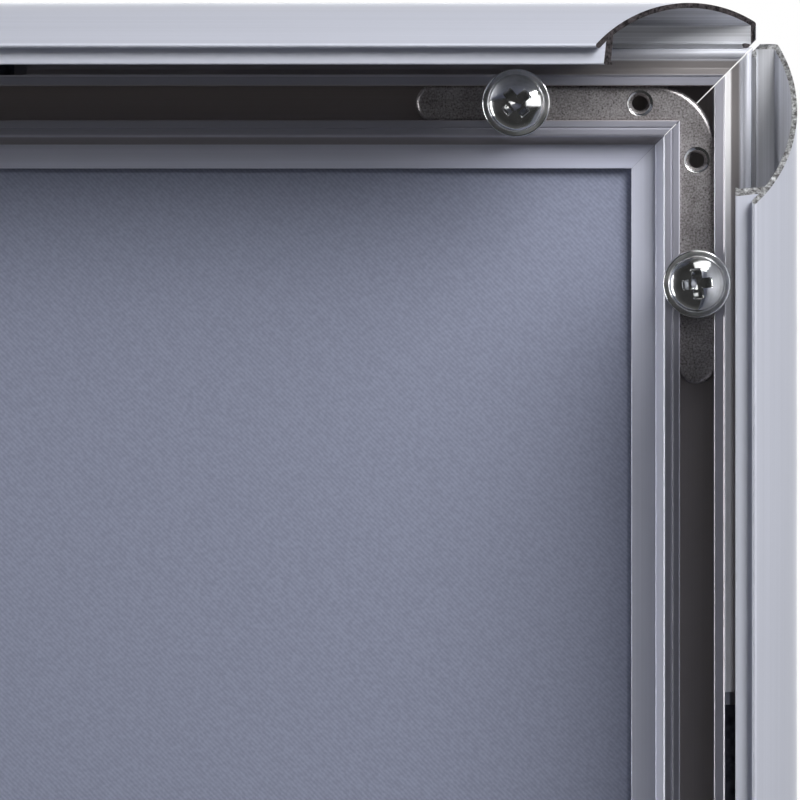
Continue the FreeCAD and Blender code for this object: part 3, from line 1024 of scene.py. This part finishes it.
def sawn_aluminium(name, dark, bright):
    """Cut end of a rail: saw lines and torn specks that catch the light."""
    material, tree, shader, place = new_finish(name, metallic=0.8)
    specks = noise(tree, place, scale=2600, detail=4)
    both = average(tree, specks, noise(tree, place, scale=1500, stretch=(1, 0.1, 1)))
    tone = tones(tree, both, [(0.38, dark), (0.52, shaded(bright, 0.5)), (0.68, bright)])
    dress(tree, shader, tone, spread(tree, specks, 0.3, 0.6), both, depth=0.06, strength=0.8)
    return material


def mottled_zinc():
    """Zinc-plated pressed steel: fine dull and bright grains, with handling marks."""
    material, tree, shader, place = new_finish("mottled_zinc", metallic=0.6)
    grain = noise(tree, place, scale=3400, detail=4)
    both = average(tree, average(tree, grain, noise(tree, place, scale=400)), grain)
    stops = [(0.38, (0.22, 0.202, 0.202)), (0.5, (0.36, 0.34, 0.346)), (0.62, (0.52, 0.498, 0.512))]
    rough = spread(tree, grain, 0.26, 0.42)
    dress(tree, shader, tones(tree, both, stops), rough, both, depth=0.02, strength=0.4)
    return material


def plated_zinc(name, smoothest, roughest):
    """Bright plated screw: a mirror or satin surface with faint stains and slight ripples."""
    material, tree, shader, place = new_finish(name, metallic=1.0)
    stain = noise(tree, place, scale=420, detail=4)
    ripple = noise(tree, place, scale=1300)
    stops = [(0.35, (0.60, 0.61, 0.60)), (0.55, (0.74, 0.75, 0.76)), (0.7, (0.80, 0.80, 0.79))]
    rough = spread(tree, stain, smoothest, roughest)
    dress(tree, shader, tones(tree, stain, stops), rough, ripple, depth=0.01, strength=0.25)
    return material


def blued_steel():
    """Hardened spring strip, dark blue-black with drawn streaks."""
    material, tree, shader, place = new_finish("blued_steel", metallic=1.0)
    streak = noise(tree, place, scale=700, detail=3)
    tone = tones(tree, streak, [(0.35, (0.035, 0.036, 0.045)), (0.6, (0.08, 0.08, 0.095))])
    dress(tree, shader, tone, spread(tree, streak, 0.28, 0.45), streak, depth=0.01, strength=0.3)
    return material


def grained_panel():
    """Grey plastic sheet with a fine diagonal grain, falling from left to right."""
    material, tree, shader, place = new_finish("grained_panel", metallic=0.0)
    diagonal = {"Vector": place, "Rotation": (0, math.radians(45), 0)}
    wave_inputs = {
        "Vector": add_node(tree, "ShaderNodeMapping", diagonal).outputs["Vector"],
        "Scale": 2 * math.pi / (wave_turns * panel_grain_pitch * MM),
        "Distortion": 1.4,
        "Detail": 2.0,
        "Detail Scale": 1.6,
    }
    wave = add_node(tree, "ShaderNodeTexWave", wave_inputs).outputs["Fac"]
    speck = noise(tree, place, scale=2000, detail=3)
    ribs = average(tree, average(tree, wave, speck), speck)
    tone = tones(tree, ribs, around_colour(panel_colour, change=0.13, reach=0.2))
    shader.inputs["Specular IOR Level"].default_value = 0.3
    dress(tree, shader, tone, spread(tree, speck, 0.5, 0.62), ribs, depth=0.012, strength=0.4)
    return material


RailFinishes = namedtuple("RailFinishes", "base cover inside leg cut")


def rail_finishes(word, along, reach, bands, leg_light_factor, sawn_dark, sawn_bright):
    """Finishes of the rails that run one way: base, cover, its inside, its leg in the cover's colour made lighter
    as painted light, and the cut ends.
    """
    # Painted light: the leg takes the cover's colour made lighter, more so on the rails that run across
    lit_leg_colour = shaded(cover_colour, leg_light_factor)
    return RailFinishes(
        anodised("base_anodised_" + word, base_colour, along, metallic=0.3, roughness=0.2,
                 reach=reach, bands=bands),
        anodised("cover_anodised_" + word, cover_colour, along, metallic=0.12, roughness=0.4),
        anodised("inside_anodised_" + word, inside_colour, along, metallic=0.85, roughness=0.5, streak=0.18),
        anodised("leg_anodised_" + word, lit_leg_colour, along, metallic=0.12, roughness=0.4),
        sawn_aluminium("sawn_" + word, sawn_dark, sawn_bright),
    )


# Painted shade and light: the cut ends are nearly black on the rails that run across and light on the upright ones
finishes = {
    across: rail_finishes("across", across, half_height, across_light_and_shade_bands, leg_light_factor=1.33,
                          sawn_dark=(0.01, 0.008, 0.01), sawn_bright=(0.16, 0.14, 0.15)),
    upright: rail_finishes("upright", upright, half_width, upright_light_and_shade_bands, leg_light_factor=1.2,
                           sawn_dark=(0.12, 0.11, 0.11), sawn_bright=(0.85, 0.86, 0.88)),
}
plate_finish = mottled_zinc()
screw_finish = plated_zinc("bright_zinc", smoothest=0.08, roughest=0.18)
collar_finish = plated_zinc("satin_zinc", smoothest=0.28, roughest=0.38)
spring_finish = blued_steel()

# Pieces
for name, side in sides.items():
    base_rail(name, finishes[side.along])
    snap_rail(name, finishes[side.along])
    for spring in side.springs:
        leaf_spring(spring, side, spring_finish)

for high, sign_z in (("top", 1), ("bottom", -1)):
    for wide, sign_x in (("left", -1), ("right", 1)):
        corner_bracket(high + "_" + wide, sign_x, sign_z, plate_finish, screw_finish)
        bracket_screws(high + "_" + wide, sign_x, sign_z, screw_finish, collar_finish)

panel = frame["nodes"]["back_panel"]
panel.data.materials.clear()
panel.data.materials.append(grained_panel())


# Studio

def studio_floor():
    """Flat pale floor under the frame, lightened for the camera only."""
    level = cad_low.z - floor_drop
    signs = ((-1, -1), (1, -1), (1, 1), (-1, 1))
    corners = [(x * floor_reach, y * floor_reach, level) for x, y in signs]
    mesh = bpy.data.meshes.new("floor")
    mesh.from_pydata(corners, [], [(0, 1, 2, 3)])
    material, tree, shader = new_finish("pale_floor", metallic=0.0)[:3]
    shader.inputs["Base Color"].default_value = (*floor_colour, 1)
    shader.inputs["Roughness"].default_value = 0.9
    shader.inputs["Emission Color"].default_value = (1, 1, 1, 1)
    seen = add_node(tree, "ShaderNodeLightPath", {}).outputs["Is Camera Ray"]
    tree.links.new(blend(tree, seen, floor_lightening, "MULTIPLY"), shader.inputs["Emission Strength"])
    mesh.materials.append(material)
    floor = placed("floor", mesh)
    floor.visible_glossy = False
    floor.visible_diffuse = False
    floor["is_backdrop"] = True


def softbox(name, place, target, width, height, radiance, highlight_only=False):
    """Rectangular lamp facing a point, unseen by the camera; radiance 1 is white."""
    lamp = bpy.data.lights.new(name, "AREA")
    lamp.shape = "RECTANGLE"
    lamp.size = width
    lamp.size_y = height
    lamp.energy = math.pi * width * height * radiance
    holder = placed(name, lamp)
    holder.location = place
    holder.rotation_mode = "QUATERNION"
    holder.rotation_quaternion = (Vector(target) - Vector(place)).to_track_quat("-Z", "Y")
    holder.visible_camera = False
    holder.visible_diffuse = not highlight_only


def studio_world():
    """White backdrop for the camera, and a little even light on matt surfaces from all round.

    For reflections the brightness goes by direction: from the dim room in front it rises towards
    the plane of the frame to that of the walls, and behind the frame to white.
    """
    world = bpy.data.worlds.new("studio")
    world.use_nodes = True
    scene.world = world
    tree = world.node_tree
    backdrop = tree.nodes["Background"]
    backdrop.inputs["Color"].default_value = (1, 1, 1, 1)
    direction = add_node(tree, "ShaderNodeTexCoord", {}).outputs["Generated"]
    parts = add_node(tree, "ShaderNodeSeparateXYZ", {"Vector": direction}).outputs
    lit_side = blend(tree, parts["X"], parts["Z"])
    wall = spread(tree, lit_side, dark_wall, bright_wall, *wall_span)
    beside = spread(tree, parts["Y"], 0, 1, *beside_span)
    behind = spread(tree, parts["Y"], 0, 1, *behind_span)
    in_front = blend(tree, blend(tree, wall, beside, "MULTIPLY"), room_dim)
    mirrored = blend(tree, in_front, behind, "MAXIMUM")
    rays = add_node(tree, "ShaderNodeLightPath", {}).outputs
    for_mirrors = blend(tree, mirrored, rays["Is Glossy Ray"], "MULTIPLY")
    for_camera = blend(tree, rays["Is Camera Ray"], rays["Is Transmission Ray"], "MAXIMUM")
    strength = blend(tree, blend(tree, for_mirrors, for_camera, "MAXIMUM"), room_fill, "MAXIMUM")
    tree.links.new(strength, backdrop.inputs["Strength"])


studio_floor()
studio_world()
corner_spot = (half_width * MM, 0, half_height * MM)
softbox("key_softbox", (0.68, -0.51, 0.79), corner_spot, width=0.53, height=0.53, radiance=16.2)
softbox("upper_card", (0.45, -0.80, 0.99), corner_spot, width=0.8, height=0.9, radiance=1.6,
        highlight_only=True)
softbox("right_card", (1.08, -0.80, 0.36), corner_spot, width=1.05, height=0.6, radiance=1.6,
        highlight_only=True)
softbox("back_softbox", (0, 1.8, 0.3), (0, 0, 0), width=1.6, height=1.2, radiance=2.2)
softbox("left_strip", (-1.0, -0.20, 0.10), (0.16, -0.01, 0.10), width=0.3, height=1.0, radiance=8.0)

# Camera square to the frame, with the outer corner of the closed frame at its pixel
camera = bpy.data.cameras.new("camera")
viewpoint = placed("camera", camera)
scene.camera = viewpoint
camera.sensor_width = sensor_width
field_width = image_pixels / pixels_per_mm
camera.lens = sensor_width * (camera_distance - lip_front) / field_width
camera.clip_start = 0.05
camera.clip_end = 50
middle_x = half_width - (corner_pixel[0] - image_pixels / 2) / pixels_per_mm
middle_z = half_height - (image_pixels / 2 - corner_pixel[1]) / pixels_per_mm
viewpoint.location = Vector((middle_x, -camera_distance, middle_z)) * MM
viewpoint.rotation_euler = (math.pi / 2, 0, 0)

scene.view_settings.view_transform = "Standard"

low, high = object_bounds()
